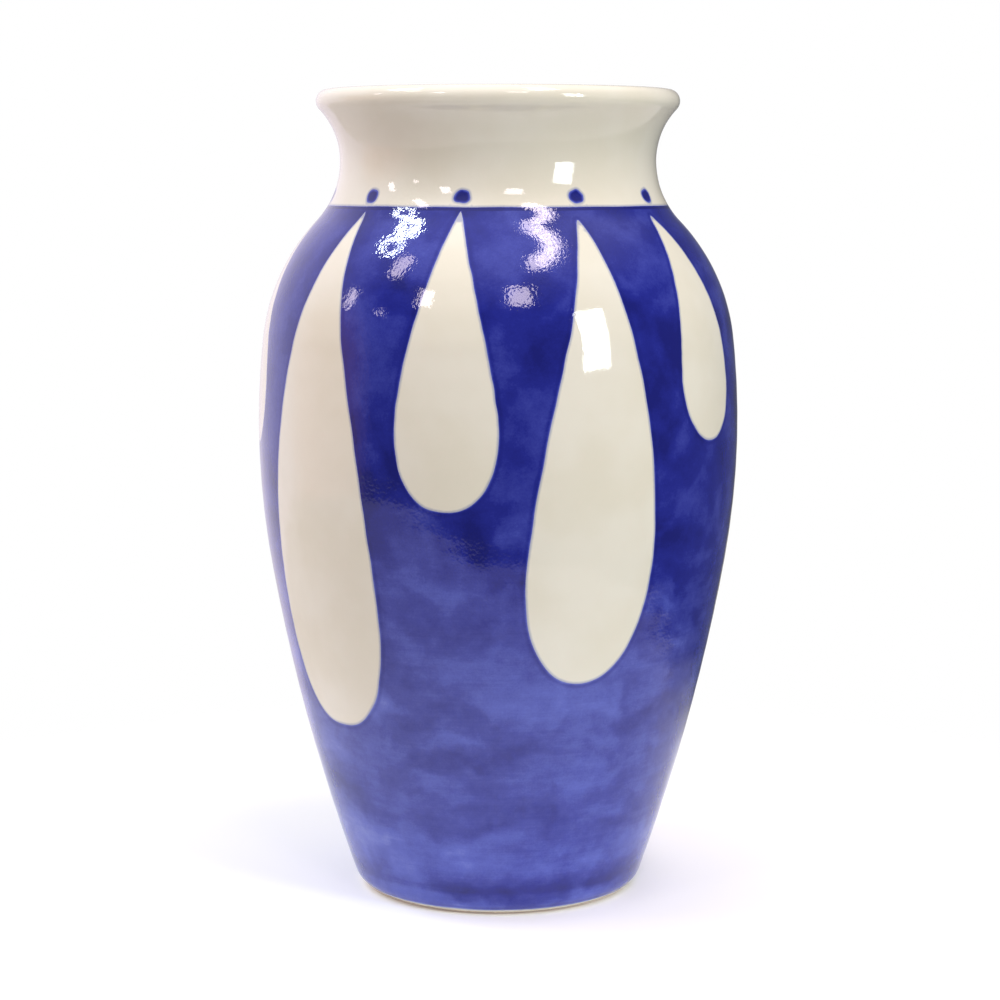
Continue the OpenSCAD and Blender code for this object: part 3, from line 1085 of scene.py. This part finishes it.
# %% [markdown]
# ## The camera
#
# A long lens from almost a metre, a little above the lip and tipped down by seven degrees, keeps
# the sides of the pot nearly parallel and shows just the crown of the lip.

# %% Camera
camera_data = bpy.data.cameras.new("Camera")
camera_data.sensor_width, camera_data.lens = 36, 90.6
camera_data.clip_start, camera_data.clip_end = 0.05, 50
camera = bpy.data.objects.new("Camera", camera_data)
camera.location = (0.00075, -0.945, 0.2698)
tipped_down = math.radians(7.43)
camera.rotation_euler = (math.pi / 2 - tipped_down, 0, 0)
scene.collection.objects.link(camera)
scene.camera = camera
scene.view_settings.view_transform = "Standard"
print("camera", round(math.degrees(tipped_down), 1), "degrees down, lens", round(camera_data.lens, 1), "mm")

# %% [markdown]
# ## Floor and light
#
# The vase stands on a plain pale floor that fades out into white. The floor matters to the glaze:
# the lower half of a pot mirrors it, which veils the blue. The lamps are a window, ceiling
# lights, one of them a bent strip, and two rings of bulbs. A highlight is a mirror image, so each
# lamp is hung by naming the place on the pot where its glint should lie: the ray from the camera
# to that place is reflected, and the lamp goes along it.

# %% Floor
floor_reach, floor_corners = 2.4, 96
floor_edge = [TURN * k / floor_corners for k in range(floor_corners)]
floor_points = [(floor_reach * math.cos(a), floor_reach * math.sin(a), 0.0) for a in floor_edge]
floor_mesh = bpy.data.meshes.new("floor")
floor_mesh.from_pydata(floor_points, [], [range(floor_corners)])
floor = bpy.data.objects.new("floor", floor_mesh)
scene.collection.objects.link(floor)
floor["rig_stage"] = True
print("floor", 2 * floor_reach, "m across")

floor_finish, recipe = new_material("Pale_floor")
here = recipe.stretched((1, 1, 1))
reach = recipe.node("ShaderNodeVectorMath", {0: here}, 1, operation="LENGTH")
paper = recipe.noise(here, 700, 4, 0.6)
base = recipe.mix(recipe.smooth(paper, 0.3, 0.7), (0.9, 0.905, 0.9, 1), (0.94, 0.945, 0.94, 1))
surface = recipe.node("ShaderNodeBsdfPrincipled", {
    "Base Color": base, "Roughness": 0.7, "Emission Color": (1, 1, 1, 1), "Emission Strength": 0.14})
gone = recipe.node("ShaderNodeBsdfTransparent", {})
faded = recipe.node("ShaderNodeMixShader", {0: recipe.smooth(reach, 0.12, 0.34), 1: surface, 2: gone})
recipe.node("ShaderNodeOutputMaterial", {"Surface": faded})
floor_mesh.materials.append(floor_finish)

# %% Hang a lamp by where its glint lies
def hang(name, turn, height, distance, size, radiance, tint=(1, 1, 1), round_lamp=False):
    """A soft box whose mirror image lies at a turn, in degrees, and a height, in metres, on the pot."""
    at, along = np.array([math.radians(turn)]), np.array([along_at(height)])
    spot, normal = on_skin(at, along)[0], skin_normal(at, along)[0]
    sight = unit(spot - np.array(camera.location))
    ray = sight - 2 * (sight @ normal) * normal
    lamp_data = bpy.data.lights.new(name, "AREA")
    lamp_data.shape = "ELLIPSE" if round_lamp else "RECTANGLE"
    lamp_data.size, lamp_data.size_y = size
    area = size[0] * size[1] * (math.pi / 4 if round_lamp else 1)
    lamp_data.energy, lamp_data.color = radiance * math.pi * area, tint
    lamp = bpy.data.objects.new(name, lamp_data)
    lamp.location = spot + ray * distance
    lamp.rotation_mode = "QUATERNION"
    lamp.rotation_quaternion = Vector(-ray).to_track_quat("-Z", "Y")
    scene.collection.objects.link(lamp)
    azimuth = math.degrees(math.atan2(ray[0], -ray[1]))
    print(name, "azimuth", round(azimuth), "elevation", round(math.degrees(math.asin(ray[2]))))


greenish, bluish, pinkish = (0.94, 1.0, 0.97), (0.86, 0.94, 1.0), (1.0, 0.86, 0.9)
near, far = 1.3, 1.6
bulbs, strip_lamps = 12, 7
hang("window", 22.6, 0.2142, near, (0.32, 0.54), 14.5, greenish)
for ring, (turn, height) in enumerate([(-26.8, 0.2501), (-30.2, 0.2441)]):
    for k in range(bulbs):
        bulb = TURN * k / bulbs
        hang(f"ring_lamp_{ring}_{k}", turn + 3.0 * math.cos(bulb), height + 0.0027 * math.sin(bulb),
             near, (0.05, 0.04), 56, bluish, True)
for k in range(strip_lamps):
    bend = (k - strip_lamps // 2) / (strip_lamps // 2)
    hang(f"ceiling_strip_{k}", 14.8 - 4.8 * bend**2, 0.2446 + 0.0061 * bend, far, (0.22, 0.19), 12, pinkish)
hang("ceiling_front", 5.2, 0.2272, far, (0.29, 0.24), 11, pinkish)
hang("ceiling_spot", -28.5, 0.2217, far, (0.1, 0.08), 9, pinkish)
hang("ceiling_left", -17.3, 0.2262, far, (0.2, 0.22), 12, pinkish)
hang("ceiling_far_left", -25.4, 0.2368, far, (0.16, 0.3), 10, pinkish)
hang("side_left", -37.8, 0.2255, far, (0.12, 0.2), 10, pinkish)

# %% The room around
world = bpy.data.worlds.new("Studio")
scene.world = world
recipe = Recipe(world)
look = recipe.node("ShaderNodeTexCoord", {})


def facing(direction):
    """How nearly a direction of sight is the given one, from -1 to 1."""
    return recipe.node("ShaderNodeVectorMath", {0: look, 1: direction}, 1, operation="DOT_PRODUCT")


upward = facing((0, 0, 1))
behind = recipe.smooth(facing((-0.8, 0.6, 0)), 0.35, 0.95)
leftward = facing((-1, 0, 0))
room = recipe.mix(behind, (0.13, 0.135, 0.14, 1), (1.2, 1.1, 1.25, 1))
room = recipe.mix(recipe.smooth(leftward, 0.86, 1.0) * 0.85, room, (1.1, 0.62, 0.42, 1))
room = recipe.mix(recipe.smooth(upward, 0.5, 0.95), room, (1.0, 0.98, 0.98, 1))
table_edge = recipe.smooth(upward - recipe.smooth(leftward, 0.0, 1.0) * 0.2, -0.42, -0.39)
room = recipe.mix(1 - table_edge, room, (0.84, 0.78, 0.77, 1))
seen = recipe.node("ShaderNodeLightPath", {})
backdrop = recipe.mix(seen, room, (1, 1, 1, 1))
light = recipe.node("ShaderNodeBackground", {"Color": backdrop, "Strength": 1.0})
recipe.node("ShaderNodeOutputWorld", {"Surface": light})
print("room:", len(recipe.tree.nodes), "nodes")

# %% [markdown]
# ## The box of the visual model
#
# The box of the visual model is printed in millimetres, as the CAD's box was at the start.

# %% Print the box of the visual model
low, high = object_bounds()
print("visual box in mm:", [round(v * 1000, 1) for v in (*low, *high)])
